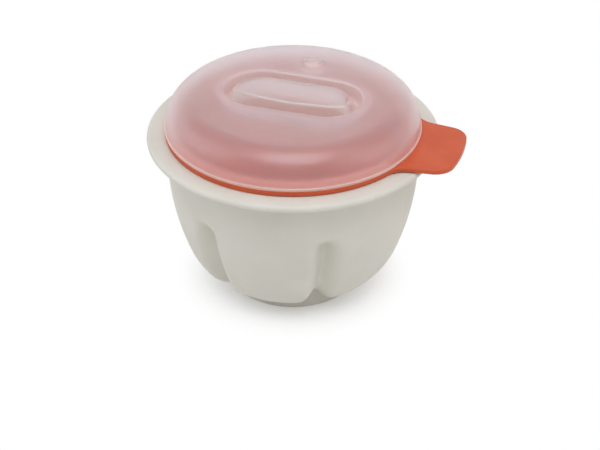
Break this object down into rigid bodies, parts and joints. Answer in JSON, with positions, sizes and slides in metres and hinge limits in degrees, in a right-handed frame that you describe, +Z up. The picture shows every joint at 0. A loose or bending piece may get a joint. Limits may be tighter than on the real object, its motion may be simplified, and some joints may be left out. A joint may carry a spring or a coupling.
{
  "type": "microwave egg cooker",
  "caption": "Round plastic egg cooker: a fluted water pot on a foot ring, a drained cup with a flat tab that hangs in it, and a frosted lid with a pinch grip and a steam vent.",
  "frame": {"origin": "on the common upright axis, in the plane that the foot ring stands on", "axes": "+Z up along the axis, +X out along the cup's tab, so the grip block's bowed face looks along -Y and the vent lies towards +Y"},
  "size_m": [0.131, 0.12, 0.0884],
  "materials": {
    "stone_plastic": "matte",
    "orange_plastic": "satin",
    "frosted_plastic": "frosted, translucent"
  },
  "bodies": {
    "root": {"water_pot": "stone_plastic", "poaching_cup": "orange_plastic", "vented_lid": "frosted_plastic"}
  },
  "joints": []
}
